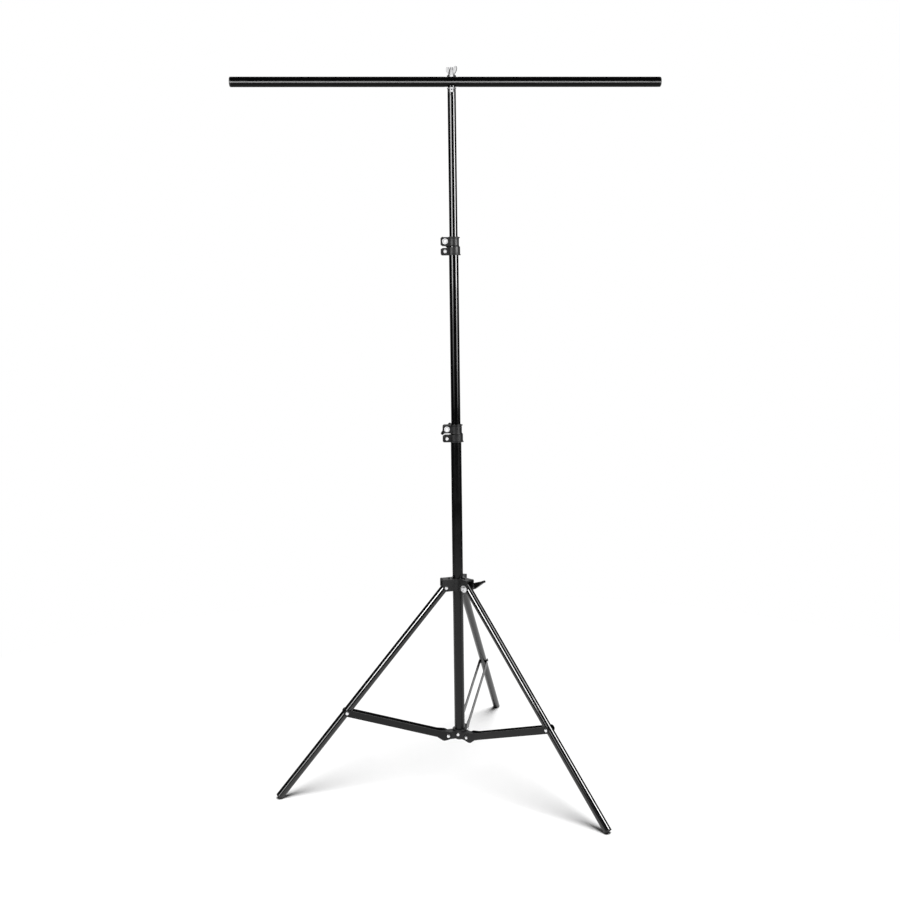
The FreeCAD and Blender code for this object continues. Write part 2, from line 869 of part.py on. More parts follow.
def stub_rivet(name, foot, seat):
    """One formed rivet end along local z: shank from foot to seat, head beyond it."""
    head_r = D.rivet_head_r
    end = seat + D.rivet_head
    outline = [
        (0, foot),
        (D.rivet_r, foot),
        (D.rivet_r, seat),
        (head_r, seat),
        (head_r * 0.9, seat + D.rivet_head * 0.55),
        (head_r * 0.55, end),
        (0, end),
    ]
    return turned(name, outline)


def across(azimuth):
    """The horizontal direction square to a leg's plane."""
    angle = math.radians(azimuth)
    return Vector(-math.sin(angle), math.cos(angle), 0)


def make_crown_pivots():
    """Rivets for the back and left legs, and the lock bolt that the right leg turns on."""
    rivets = []
    for side in ("back", "left"):
        azimuth = AZIMUTHS[side]
        piece = rivet(f"crown_rivet_{side}", D.crown_half)
        point = round_mast(azimuth, D.pivot_r.value, D.crown_pivot.value).Base
        piece.Placement = facing(point, across(azimuth))
        rivets.append(piece)
    group("crown_pivot_rivets", rivets)

    azimuth = AZIMUTHS["right"]
    outward = across(azimuth)
    point = round_mast(azimuth, D.pivot_r.value, D.crown_pivot.value).Base
    grip = 2 * D.crown_half + 11.0
    bolt = socket_screw("crown_lock_bolt", D.lock_bolt_r, D.pivot_bolt_head_r, size(4.6), grip)
    bolt.Placement = facing(point - outward * D.crown_half.value, outward * -1)


def make_crown_lever():
    """A one-armed lever nut along local z; its arm lies along local x."""
    body = new_body("crown_lever")
    hub = new_sketch(body, "crown_lever_hub_outline", "XY_Plane")
    hub_r = D.knob_hub_r + 0.8
    circle(hub, 0, 0, hub_r)
    extrude(body, "Pad", "crown_lever_hub", hub, D.lever_hub)
    arm = new_sketch(body, "crown_lever_arm_outline", "XY_Plane")
    low = D.lever_hub - D.lever_depth
    arm.AttachmentOffset = Placement(Vector(0, 0, low.value), Rotation())
    tip = D.lever_length
    upper_side = [(0, 7.2), (6, 7.0), (tip - 11, 3.4), (tip - 6.5, 2.3), (tip - 4.5, 2.9), (tip, 2.9)]
    lower_side = [(x, -y) for x, y in reversed(upper_side)]
    polygon(arm, upper_side + lower_side)
    extrude(body, "Pad", "crown_lever_arm", arm, D.lever_depth)
    tip_x = tip.value
    dress(body, "Fillet", "crown_lever_tip", 2.4, lambda edge: is_upright(edge, x=tip_x))
    far = D.lever_hub.value
    dress(
        body,
        "Fillet",
        "crown_lever_grip",
        1.0,
        lambda edge: all(abs(v.Point.z - far) < 1e-3 for v in edge.Vertexes),
    )
    bore = new_sketch(body, "crown_lever_bore_outline", "XY_Plane")
    circle(bore, 0, 0, NUT_SLEEVE_R + D.bush_gap)
    extrude(body, "Pocket", "crown_lever_bore", bore, 11.2, reverse=True)
    insert_top = size(10.6)
    insert = turned(
        "crown_lever_insert",
        [(BOLT_HOLE, 0), (NUT_SLEEVE_R, 0), (NUT_SLEEVE_R, insert_top), (BOLT_HOLE, insert_top)],
    )
    azimuth = AZIMUTHS["right"]
    outward = across(azimuth)
    start = round_mast(azimuth, D.pivot_r.value, D.crown_pivot.value).Base
    seat = start + outward * (D.crown_half + D.side_gap).value
    radial = Rotation(AXIS_Z, azimuth).multVec(AXIS_X)
    rise = math.radians(D.lever_rise.value)
    arm_way = radial * math.cos(rise) + AXIS_Z * math.sin(rise)
    aim = Rotation(arm_way, outward.cross(arm_way), outward, "ZXY")
    for piece in (body, insert):
        piece.Placement = Placement(seat, aim)


# ---------------------------------------------------------------- legs and struts


def floor_block(name, place, spot):
    """A block under the floor at spot, given in the frame of a piece that stands at place."""
    block = doc.addObject("Part::Box", name)
    side = 100.0
    block.Length = side
    block.Width = side
    block.Height = side
    corner = Vector(spot.x - side / 2, spot.y - side / 2, -side)
    block.Placement = place.inverse() * Placement(corner, Rotation())
    return block


def make_leg(side, azimuth):
    """A leg tube with its top plug and foot. Local z runs up the leg, from the foot to the pivot at 0."""
    place = tilted(azimuth, D.pivot_r.value, D.crown_pivot.value, -TILT.value)
    hole_r = BOLT_HOLE if side == "right" else PIN_HOLE
    tube_low = D.foot_disc - LEG_LENGTH
    outer = rod(f"leg_{side}_outside", D.leg_r, tube_low, D.leg_above)
    inner = rod(f"leg_{side}_inside", D.leg_r - D.wall, tube_low - 1, D.leg_above + 1)
    hole = cross_rod(f"leg_{side}_hole", hole_r, 20, 0, 0)
    leg = cut(f"leg_{side}_tube", outer, [inner, hole])
    leg.Placement = place

    plug_r = D.leg_r - D.wall - D.bush_gap
    top = D.leg_above
    plug = turned(
        f"leg_{side}_plug_blank",
        [
            (0, top - D.leg_plug),
            (plug_r, top - D.leg_plug),
            (plug_r, top),
            (D.leg_r, top),
            (D.leg_r - 0.8, top + 1.2),
            (0, top + 1.2),
        ],
    )
    plug_hole = cross_rod(f"leg_{side}_plug_hole", hole_r, 20, 0, 0)
    top_plug = cut(f"leg_{side}_top_plug", plug, [plug_hole])
    top_plug.Placement = place

    end = -LEG_LENGTH
    foot = turned(
        f"leg_{side}_foot_blank",
        [
            (0, end),
            (D.leg_r - 0.9, end),
            (D.leg_r, end + 0.9),
            (D.leg_r, tube_low),
            (plug_r, tube_low),
            (plug_r, tube_low + D.foot_plug),
            (0, tube_low + D.foot_plug),
        ],
    )
    block = floor_block(f"leg_{side}_floor", place, place.multVec(AXIS_Z * end.value))
    cap = cut(f"leg_{side}_foot", foot, [block])
    cap.Placement = place


def strut_outline(sketch):
    """Side of one strut bar: a wide knuckle round the hub pivot that narrows to a plain flat bar."""
    small, large = D.knuckle_end_r.value, D.knuckle_r.value
    out, drop = D.knuckle_out.value, D.knuckle_drop.value
    blend, half, length = D.knuckle_blend.value, D.bar_half.value, STRUT_LENGTH.value
    pin, bulge_centre = Vector(0, 0, 0), Vector(out, -drop, 0)
    along = math.atan2(-drop, out)
    square = math.pi / 2 + math.asin((large - small) / math.hypot(out, drop))

    def on(centre, radius, angle):
        return centre + Vector(radius * math.cos(angle), radius * math.sin(angle), 0)

    def side(way):
        """Half of the outline, above (+1) or below (-1) the bar's axis, from the pin to the far end."""
        leave = along + way * square
        corner = Vector(blend, way * half, 0)
        sight = corner - bulge_centre
        meet = math.atan2(sight.y, sight.x) + way * math.acos(large / sight.Length)
        last = on(bulge_centre, large, meet)
        middle = on(bulge_centre, large, (leave + meet) / 2)
        first = on(bulge_centre, large, leave)
        start = on(pin, small, leave)
        return start, first, middle, last, corner, Vector(length, way * half, 0)

    a_top, b_top, m_top, c_top, d_top, e_top = side(1)
    a_low, b_low, m_low, c_low, d_low, e_low = side(-1)
    pieces = [
        Part.LineSegment(a_top, b_top),
        Part.Arc(b_top, m_top, c_top),
        Part.LineSegment(c_top, d_top),
        Part.LineSegment(d_top, e_top),
        Part.Arc(e_top, Vector(length + half, 0, 0), e_low),
        Part.LineSegment(e_low, d_low),
        Part.LineSegment(d_low, c_low),
        Part.Arc(c_low, m_low, b_low),
        Part.LineSegment(b_low, a_low),
        Part.Arc(a_low, on(pin, -small, along), a_top),
    ]
    for piece in pieces:
        sketch.addGeometry(piece, False)
    end_arc, hub_arc, bulges = 4, 9, (1, 7)
    limit(sketch, "Radius", (end_arc,), D.bar_half)
    limit(sketch, "Radius", (hub_arc,), D.knuckle_end_r)
    locate(sketch, end_arc, 3, STRUT_LENGTH, 0)
    locate(sketch, hub_arc, 3, 0, 0)
    for bulge in bulges:
        limit(sketch, "Radius", (bulge,), D.knuckle_r)
        locate(sketch, bulge, 3, D.knuckle_out, -D.knuckle_drop)


def make_strut(side, azimuth):
    """A strut: two flat bars, one each side of the leg and of the hub's lug."""
    place = tilted(azimuth, D.pivot_r.value, D.hub_pivot.value, -STRUT_ANGLE)
    bars = []
    for face, way in (("near", -1), ("far", 1)):
        body = new_body(f"strut_{side}_{face}_bar")
        sketch = new_sketch(body, f"strut_{side}_{face}_outline", "XZ_Plane")
        strut_outline(sketch)
        extrude(body, "Pad", f"strut_{side}_{face}_pad", sketch, D.bar_thick)
        holes = new_sketch(body, f"strut_{side}_{face}_holes_outline", "XZ_Plane")
        circle(holes, 0, 0, PIN_HOLE)
        circle(holes, STRUT_LENGTH, 0, D.rivet_r + D.bush_gap)
        extrude(body, "Pocket", f"strut_{side}_{face}_holes", holes, 10, symmetric=True)
        shift = BAR_OUTER.value if way > 0 else -BAR_INNER.value
        body.Placement = place * Placement(Vector(0, shift, 0), Rotation())
        bars.append(body)
    group(f"strut_{side}_bars", bars)

    stubs = []
    leg_point = (place * Placement(Vector(STRUT_LENGTH.value, 0, 0), Rotation())).Base
    for face, way in (("near", -1), ("far", 1)):
        stub = stub_rivet(f"strut_{side}_{face}_stub", BAR_INNER, BAR_OUTER)
        stub.Placement = facing(leg_point, across(azimuth) * way)
        stubs.append(stub)
    group(f"strut_{side}_leg_rivets", stubs)


# ---------------------------------------------------------------- lower hub


def make_lower_hub():
    """The hub riveted to the foot of the base tube, with a solid lug for each strut."""
    body = new_body("lower_hub")
    ring = new_sketch(body, "hub_ring_outline", "XY_Plane")
    circle(ring, 0, 0, D.crown_ring_r)
    extrude(body, "Pad", "hub_ring", ring, D.hub_height)
    ring_r, height = D.crown_ring_r.value, D.hub_height.value
    dress(body, "Chamfer", "hub_ring_bevel", 1.2, lambda edge: is_circle(edge, ring_r))

    middle = D.hub_pivot - D.hub_bottom
    low = middle - D.lug_half_height
    high = middle + D.lug_half_height
    lug = new_sketch(body, "hub_lug_outline", "XZ_Plane")
    polygon(lug, [(0, low), (D.lug_reach, low), (D.lug_reach, high), (0, high)])
    lug_pad = extrude(body, "Pad", "hub_lug", lug, 2 * D.lug_half, symmetric=True)
    pivot = new_sketch(body, "hub_pivot_outline", "XZ_Plane")
    circle(pivot, D.pivot_r, middle, D.rivet_r + D.bush_gap)
    pivot_cut = extrude(body, "Pocket", "hub_pivot_holes", pivot, THROUGH, symmetric=True)
    pattern = body.newObject("PartDesign::PolarPattern", "hub_three_lugs")
    pattern.Originals = [lug_pad, pivot_cut]
    pattern.Axis = (origin_part(body, "Z_Axis"), [""])
    pattern.Angle = 360
    pattern.Occurrences = 3
    body.Tip = pattern
    far = D.lug_reach.value
    dress(
        body,
        "Fillet",
        "hub_lug_noses",
        6.0,
        lambda edge: is_level_line(edge) and math.dist((0, 0), edge.CenterOfMass[:2]) > far - 0.1,
    )

    bore = new_sketch(body, "hub_bore_outline", "XY_Plane")
    circle(bore, 0, 0, D.base_r + D.bush_gap)
    extrude(body, "Pocket", "hub_bore", bore, THROUGH, symmetric=True)

    fixing = new_sketch(body, "hub_fixing_outline", "YZ_Plane")
    circle(fixing, 0, D.hub_rivet_up - D.hub_bottom, D.screw_r + D.pin_gap)
    fixing_cut = extrude(body, "Pocket", "hub_fixing_hole", fixing, 30)
    fixing_pattern = body.newObject("PartDesign::PolarPattern", "hub_three_fixings")
    fixing_pattern.Originals = [fixing_cut]
    fixing_pattern.Axis = (origin_part(body, "Z_Axis"), [""])
    fixing_pattern.Angle = 360
    fixing_pattern.Occurrences = 3
    body.Tip = fixing_pattern
    body.Placement = round_mast(BACK, 0, D.hub_bottom.value)
    return body


def make_hub_rivets():
    """Pivot rivets through the lugs, and fixing rivets between them into the base tube."""
    pivots, fixings = [], []
    for side, azimuth in AZIMUTHS.items():
        pivot = rivet(f"hub_pivot_{side}", BAR_OUTER + 0.1)
        point = round_mast(azimuth, D.pivot_r.value, D.hub_pivot.value).Base
        pivot.Placement = facing(point, across(azimuth))
        pivots.append(pivot)

        fixing = turned(
            f"hub_fixing_{side}",
            [
                (0, D.base_r - 2.0),
                (D.screw_r, D.base_r - 2.0),
                (D.screw_r, D.crown_ring_r),
                (D.rivet_head_r - 0.3, D.crown_ring_r),
                (D.rivet_head_r - 0.7, D.crown_ring_r + 1.3),
                (D.rivet_head_r - 2.0, D.crown_ring_r + 2.0),
                (0, D.crown_ring_r + 2.0),
            ],
        )
        fixing.Placement = facing(Vector(0, 0, D.hub_rivet_up.value), rivet_direction(azimuth))
        fixings.append(fixing)
    group("hub_pivot_rivets", pivots)
    group("hub_fixing_rivets", fixings)


# ---------------------------------------------------------------- spigot, crossbar, wing nut


def front_hole(name, radius, inside, z):
    """A hole in the front of the mast at height z, from a distance inside it outward."""
    place = STAND * facing(Vector(0, -inside.value, z.value), FRONT)
    return drill(name, radius, D.top_r, place)


def make_top_tube():
    """The inner tube, drilled at the front for the spigot's rivet."""
    outer = rod("top_tube_outside", D.top_r, D.top_bottom, D.top_end)
    inner = rod("top_tube_inside", D.top_r - D.wall, D.top_bottom - 1, D.top_end + 1)
    hole = front_hole("top_tube_hole", D.spigot_rivet_r + D.bush_gap, SPIGOT_RIVET_DEPTH, SPIGOT_RIVET_Z)
    cut("top_tube", outer, [inner, hole])


def make_spigot():
    """The chromed spigot: a plug in the top tube, a collar and the flange under the bar."""
    plug_r = D.top_r - D.wall - D.bush_gap
    base = D.top_end
    flange = D.flange_top
    step = flange - 2.2
    blank = turned(
        "spigot_blank",
        [
            (0, base - D.spigot_plug),
            (plug_r - 1.0, base - D.spigot_plug),
            (plug_r, base - D.spigot_plug + 1.0),
            (plug_r, base),
            (D.top_r - 0.2, base),
            (D.top_r, base + 0.4),
            (D.top_r, step - 0.6),
            (D.top_r - 0.5, step),
            (D.flange_r - 0.3, step),
            (D.flange_r, step + 0.3),
            (D.flange_r, flange - 0.3),
            (D.flange_r - 0.3, flange),
            (D.stud_r + D.bush_gap, flange),
            (D.stud_r + D.bush_gap, flange - D.stud_depth),
            (0, flange - D.stud_depth),
        ],
    )
    holes = [
        front_hole("spigot_screw_hole", D.set_screw_r + D.bush_gap, SET_SCREW_DEPTH, SET_SCREW_Z),
        front_hole("spigot_rivet_hole", D.spigot_rivet_r + D.bush_gap, SPIGOT_RIVET_DEPTH, SPIGOT_RIVET_Z),
    ]
    cut("spigot", blank, holes)


def make_spigot_fixings():
    """The rivet that holds the spigot in the tube, and the set screw that holds the stud."""
    head_r = D.spigot_rivet_r + 1.3
    fixing = turned(
        "spigot_rivet",
        [
            (0, SPIGOT_RIVET_DEPTH),
            (D.spigot_rivet_r, SPIGOT_RIVET_DEPTH),
            (D.spigot_rivet_r, D.top_r),
            (head_r, D.top_r),
            (head_r - 0.4, D.top_r + 0.8),
            (head_r - 1.3, D.top_r + 1.2),
            (0, D.top_r + 1.2),
        ],
    )
    fixing.Placement = STAND * facing(Vector(0, 0, SPIGOT_RIVET_Z.value), FRONT)

    outside = D.top_r - 0.3
    socket = D.set_screw_r * 0.55
    screw = turned(
        "spigot_set_screw",
        [
            (0, SET_SCREW_DEPTH),
            (D.set_screw_r, SET_SCREW_DEPTH),
            (D.set_screw_r, outside - 0.2),
            (D.set_screw_r - 0.2, outside),
            (socket, outside),
            (socket, outside - 1.2),
            (0, outside - 1.2),
        ],
    )
    screw.Placement = STAND * facing(Vector(0, 0, SET_SCREW_Z.value), FRONT)


def make_spigot_stud():
    """The threaded stud screwed into the spigot; it carries the bar and the wing nut."""
    low = D.flange_top - D.stud_depth
    top = D.stud_top
    return turned(
        "spigot_stud",
        [(0, low), (D.stud_r, low), (D.stud_r, top - 1.0), (D.stud_r - 1.0, top), (0, top)],
    )


def make_crossbar():
    """A tube with a shallow pressed seat in the middle, drilled upright for the stud."""
    left = D.bar_shift - D.bar_length / 2 + D.cap_disc
    right = D.bar_shift + D.bar_length / 2 - D.cap_disc
    z = D.bar_axis
    halves = [
        long_rod("crossbar_left_length", D.bar_r, left, -D.seat_half, z),
        long_rod("crossbar_seat", D.seat_r, -D.seat_half, D.seat_half, z),
        long_rod("crossbar_right_length", D.bar_r, D.seat_half, right, z),
    ]
    blank = fuse("crossbar_blank", halves)
    inside = long_rod("crossbar_inside", D.bar_r - D.wall - 0.1, left - 1, right + 1, z)
    hole = rod("crossbar_hole", D.stud_r + 0.1, z - 20, z + 20)
    cut("crossbar_tube", blank, [inside, hole])

    for side, x, way in (("left", left, -1), ("right", right, 1)):
        plug_r = D.bar_r - D.wall - 0.2
        cap = new_body(f"crossbar_cap_{side}")
        sketch = new_sketch(cap, f"crossbar_cap_{side}_outline", "XZ_Plane")
        disc = D.cap_disc
        outline = [
            (0, -D.cap_plug),
            (plug_r - 1.0, -D.cap_plug),
            (plug_r, 1.0 - D.cap_plug),
            (plug_r, 0),
            (D.cap_r, 0),
            (D.cap_r, disc),
            (0, disc),
        ]
        polygon(sketch, outline)
        spin(cap, "Revolution", f"crossbar_cap_{side}_turn", sketch)
        rim_r, rim_z = D.cap_r.value, disc.value
        dress(cap, "Fillet", f"crossbar_cap_{side}_dome", 2.4, lambda e: is_circle(e, rim_r, rim_z))
        cap.Placement = facing(Vector(x.value, 0, z.value), AXIS_X * way)


def make_saddle_and_washer():
    """A black saddle under the bar and a chromed washer over it, both hollowed to the bar."""
    z = D.bar_axis
    pieces = (
        ("bar_saddle", D.saddle_r, D.flange_top + D.bush_gap, z - D.seat_r + 1.6),
        ("bar_washer", D.washer_r, z + D.seat_r - 1.6, D.nut_base - D.bush_gap),
    )
    for name, radius, low, high in pieces:
        disc = rod(f"{name}_disc", radius, low, high)
        bar = long_rod(f"{name}_bar", D.seat_r + 0.02, -30, 30, z)
        hole = rod(f"{name}_hole", D.stud_r + 0.1, low - 5, high + 5)
        cut(name, disc, [bar, hole])


def make_wing_nut():
    """A cast wing nut: a tapered hub and two upswept wings."""
    body = new_body("wing_nut")
    hub = new_sketch(body, "wing_nut_hub_outline", "XZ_Plane")
    top = D.nut_height
    polygon(hub, [(0, 0), (D.nut_r, 0), (D.nut_r, 2.5), (D.nut_r - 1.8, top), (0, top)])
    spin(body, "Revolution", "wing_nut_hub", hub)
    wings = new_sketch(body, "wing_nut_wings_outline", "XZ_Plane")
    half = D.wing_span / 2
    rise = D.wing_rise
    polygon(
        wings,
        [
            (0, 2.5),
            (D.nut_r, 2.5),
            (half - 1.0, rise - 11.0),
            (half, rise - 6.0),
            (half - 0.8, rise - 1.6),
            (half - 3.4, rise),
            (half - 6.6, rise - 1.8),
            (D.nut_r - 2.4, top + 0.5),
            (D.nut_r - 2.4, top - 2.5),
            (-D.nut_r + 2.4, top - 2.5),
            (-D.nut_r + 2.4, top + 0.5),
            (-half + 6.6, rise - 1.8),
            (-half + 3.4, rise),
            (-half + 0.8, rise - 1.6),
            (-half, rise - 6.0),
            (-half + 1.0, rise - 11.0),
            (-D.nut_r, 2.5),
        ],
    )
    extrude(body, "Pad", "wing_nut_wings", wings, D.wing_thick, symmetric=True)
    thick = D.wing_thick.value / 2
    outer = D.nut_r.value + 0.3
    dress(
        body,
        "Fillet",
        "wing_nut_round",
        2.0,
        lambda edge: isinstance(edge.Curve, Part.Line)
        and abs(edge.Length - 2 * thick) < 1e-3
        and all(abs(v.Point.x) > outer for v in edge.Vertexes),
    )
    bore = new_sketch(body, "wing_nut_bore_outline", "XY_Plane")
    circle(bore, 0, 0, D.stud_r + D.pin_gap)
    extrude(body, "Pocket", "wing_nut_bore", bore, THROUGH, symmetric=True)
    body.Placement = Placement(Vector(0, 0, D.nut_base.value), Rotation(AXIS_Z, D.wing_turn.value))
    return body


# ---------------------------------------------------------------- build and write


def build():
    make_base_tube()
    make_base_end_plug()
    tube("middle_tube", D.middle_r, D.middle_bottom, D.upper_collar + D.collar_seam)
    make_bush("middle_tube_bush", D.middle_r, D.base_r, D.middle_bottom)
    make_top_tube()
    make_bush("top_tube_bush", D.top_r, D.middle_r, D.top_bottom)
    make_clamp("lower", D.base_r, D.middle_r, D.lower_collar, D.lower_knob_turn)
    make_clamp("upper", D.middle_r, D.top_r, D.upper_collar, D.upper_knob_turn)
    make_crown()
    make_crown_liner()
    make_crown_pivots()
    make_crown_lever()
    make_lower_hub()
    make_hub_rivets()
    for side, azimuth in AZIMUTHS.items():
        make_leg(side, azimuth)
        make_strut(side, azimuth)
    make_spigot()
    make_spigot_fixings()
    make_spigot_stud()
    make_crossbar()
    make_saddle_and_washer()
    make_wing_nut()


NODES = [
    "base_tube",
    "base_end_plug",
    "middle_tube",
    "middle_tube_bush",
    "top_tube",
    "top_tube_bush",
    *[
        f"{side}_clamp_{piece}"
        for side in ("lower", "upper")
        for piece in ("collar", "liner", "bolt", "screw", "nut", "knob", "knob_insert")
    ],
    "crown_casting",
    "crown_liner",
    "crown_pivot_rivets",
    "crown_lock_bolt",
    "crown_lever",
    "crown_lever_insert",
    "lower_hub",
    "hub_pivot_rivets",
    "hub_fixing_rivets",
    *[
        f"{piece}"
        for side in AZIMUTHS
        for piece in (
            f"leg_{side}_tube",
            f"leg_{side}_top_plug",
            f"leg_{side}_foot",
            f"strut_{side}_bars",
            f"strut_{side}_leg_rivets",
        )
    ],
    "spigot",
    "spigot_rivet",
    "spigot_set_screw",
    "spigot_stud",
    "crossbar_tube",
    "crossbar_cap_left",
    "crossbar_cap_right",
    "bar_saddle",
    "bar_washer",
    "wing_nut",
]


def write():
    """Check every object and write each sub-part to its own STEP file."""
    doc.recompute()
    for thing in doc.Objects:
        if {"Invalid", "Error"} & set(thing.State):
            raise RuntimeError(f"{thing.Name} failed: {thing.State}")
    os.makedirs("parts", exist_ok=True)
    for node in NODES:
        shape = doc.getObject(node).Shape
        if shape.isNull() or not shape.isValid():
            raise RuntimeError(f"{node} has no valid shape")
        print(f"{node}: {len(shape.Solids)} solid(s), {shape.Volume / 1000:.2f} cm3")
        shape.exportStep(os.path.join("parts", f"{node}.step"))


build()
write()
print(f"strut {STRUT_LENGTH.value:.3f} mm at {STRUT_ANGLE:.3f} deg, leg {LEG_LENGTH.value:.2f} mm")
print(f"crown travel {CROWN_TRAVEL:.3f} mm")
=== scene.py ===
"""The looks of the backdrop stand: paint, nylon and plating, a cut thread, foot ribs and the studio."""

import math

import bmesh
import bpy
from mathutils import Matrix, Quaternion, Vector


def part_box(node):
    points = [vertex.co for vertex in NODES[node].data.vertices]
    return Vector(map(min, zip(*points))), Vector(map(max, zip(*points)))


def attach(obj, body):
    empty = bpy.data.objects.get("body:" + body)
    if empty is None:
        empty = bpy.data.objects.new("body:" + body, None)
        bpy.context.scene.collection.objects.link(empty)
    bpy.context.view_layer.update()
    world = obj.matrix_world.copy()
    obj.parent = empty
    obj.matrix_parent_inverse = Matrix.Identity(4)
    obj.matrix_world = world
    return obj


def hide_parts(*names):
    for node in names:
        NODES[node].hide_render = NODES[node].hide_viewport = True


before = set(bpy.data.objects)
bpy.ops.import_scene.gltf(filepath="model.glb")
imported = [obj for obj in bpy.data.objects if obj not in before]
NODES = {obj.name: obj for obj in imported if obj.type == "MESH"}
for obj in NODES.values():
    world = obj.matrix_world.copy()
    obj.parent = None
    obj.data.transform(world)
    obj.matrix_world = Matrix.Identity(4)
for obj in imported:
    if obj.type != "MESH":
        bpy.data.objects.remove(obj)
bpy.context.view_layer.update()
PIECES = dict(NODES)
MM = 0.001
MICRON = 0.000001


# ---------------------------------------------------------------- materials

# Most of a noise texture lies between these two values, which a recipe spreads over its own range.
NOISE_LOW = 0.35
NOISE_HIGH = 0.65

# Any other node with one of these words in its name is plated steel.
PLATED_WORDS = ("rivet", "bolt", "clamp_screw", "clamp_nut", "insert", "spigot", "bar_washer", "wing_nut")


class Recipe:
    """One Principled material whose colour, roughness and relief come from noises in the object's space."""

    def __init__(self, name, **uniform):
        self.material = bpy.data.materials.new(name)
        self.material.use_nodes = True
        self.tree = self.material.node_tree
        self.shader = self.tree.nodes["Principled BSDF"]
        for socket, value in uniform.items():
            self.shader.inputs[socket.replace("_", " ")].default_value = value
        self.coords = self.tree.nodes.new("ShaderNodeTexCoord")

    def link(self, output, target):
        self.tree.links.new(output, target)

    def noise(self, cells, detail=2.0):
        """Noise with so many cells to the metre."""
        texture = self.tree.nodes.new("ShaderNodeTexNoise")
        texture.inputs["Scale"].default_value = cells
        texture.inputs["Detail"].default_value = detail
        self.link(self.coords.outputs["Object"], texture.inputs["Vector"])
        return texture.outputs["Fac"]

    def spread(self, noise, low, high):
        """A noise spread between two numbers."""
        ramp = self.tree.nodes.new("ShaderNodeMapRange")
        ramp.inputs["From Min"].default_value = NOISE_LOW
        ramp.inputs["From Max"].default_value = NOISE_HIGH
        ramp.inputs["To Min"].default_value = low
        ramp.inputs["To Max"].default_value = high
        self.link(noise, ramp.inputs["Value"])
        return ramp.outputs["Result"]

    def colour(self, noise, dark, light):
        """Base colour that wanders between two tones."""
        mix = self.tree.nodes.new("ShaderNodeMix")
        mix.data_type = "RGBA"
        mix.inputs["A"].default_value = (*dark, 1.0)
        mix.inputs["B"].default_value = (*light, 1.0)
        self.link(self.spread(noise, 0.0, 1.0), mix.inputs["Factor"])
        self.link(mix.outputs["Result"], self.shader.inputs["Base Color"])

    def roughness(self, noise, low, high):
        self.link(self.spread(noise, low, high), self.shader.inputs["Roughness"])

    def relief(self, noise, depth):
        """Bumps of a depth in metres."""
        bump = self.tree.nodes.new("ShaderNodeBump")
        bump.inputs["Distance"].default_value = depth
        self.link(noise, bump.inputs["Height"])
        self.link(bump.outputs["Normal"], self.shader.inputs["Normal"])


def painted(name, tone, rough, shine, orange_peel):
    """Black stoved paint: cloudy sheen, a little dust and faint orange peel."""
    recipe = Recipe(name, Specular_IOR_Level=shine)
    recipe.colour(recipe.noise(cells=90.0, detail=4.0), dark=tone, light=[c * 2.0 for c in tone])
    recipe.roughness(recipe.noise(cells=26.0, detail=3.0), low=rough - 0.03, high=rough + 0.04)
    recipe.relief(recipe.noise(cells=420.0, detail=1.0), depth=orange_peel)
    return recipe.material


def moulded(name, tone, rough, grain):
    """Glass-filled black nylon: spark-eroded grain with slightly polished patches."""
    recipe = Recipe(name, Specular_IOR_Level=0.4)
    recipe.colour(recipe.noise(cells=140.0, detail=5.0), dark=tone, light=[c * 1.8 + 0.003 for c in tone])
    recipe.roughness(recipe.noise(cells=60.0, detail=3.0), low=rough - 0.06, high=rough + 0.07)
    recipe.relief(recipe.noise(cells=1300.0, detail=3.0), depth=grain)
    return recipe.material


def plated(name, tone, rough, metal, turning):
    """Zinc or chrome plate with the marks of turning or tumbling under it."""
    recipe = Recipe(name, Metallic=metal)
    recipe.colour(recipe.noise(cells=120.0, detail=3.0), dark=[c * 0.86 for c in tone], light=tone)
    recipe.roughness(recipe.noise(cells=300.0, detail=4.0), low=rough, high=rough + 0.09)
    recipe.relief(recipe.noise(cells=1500.0, detail=2.0), depth=turning)
    return recipe.material


def rubbery(name, tone):
    """Matt black rubber with a dusty bloom."""
    recipe = Recipe(name, Specular_IOR_Level=0.35)
    recipe.colour(recipe.noise(cells=200.0, detail=5.0), dark=tone, light=[c * 2.6 + 0.006 for c in tone])
    recipe.roughness(recipe.noise(cells=90.0, detail=3.0), low=0.62, high=0.82)
    recipe.relief(recipe.noise(cells=1800.0, detail=3.0), depth=80 * MICRON)
    return recipe.material


MATERIALS = {
    "mast": painted("mast_paint", (0.001, 0.001, 0.0011), rough=0.1, shine=0.5, orange_peel=1.2 * MICRON),
    "base": painted("base_paint", (0.0012, 0.0012, 0.0013), rough=0.22, shine=0.35, orange_peel=2 * MICRON),
    "leg": painted("leg_paint", (0.001, 0.001, 0.0011), rough=0.11, shine=0.65, orange_peel=1.2 * MICRON),
    "bar": painted("crossbar_paint", (0.0008, 0.0008, 0.0009), rough=0.22, shine=0.1, orange_peel=2 * MICRON),
    "strut": painted("strut_paint", (0.0014, 0.0014, 0.0015), rough=0.3, shine=0.3, orange_peel=4 * MICRON),
    "casting": moulded("moulded_nylon", (0.005, 0.005, 0.0054), rough=0.46, grain=40 * MICRON),
    "knob": moulded("knob_nylon", (0.0025, 0.0025, 0.0028), rough=0.38, grain=10 * MICRON),
    "trim": moulded("smooth_trim", (0.0025, 0.0025, 0.0027), rough=0.32, grain=6 * MICRON),
    "foot": rubbery("foot_rubber", (0.005, 0.005, 0.005)),
    "chrome": plated("zinc_plate", (0.93, 0.93, 0.94), rough=0.22, metal=0.9, turning=10 * MICRON),
    "dark_steel": plated("blackened_steel", (0.045, 0.045, 0.05), rough=0.35, metal=1.0, turning=10 * MICRON),
}


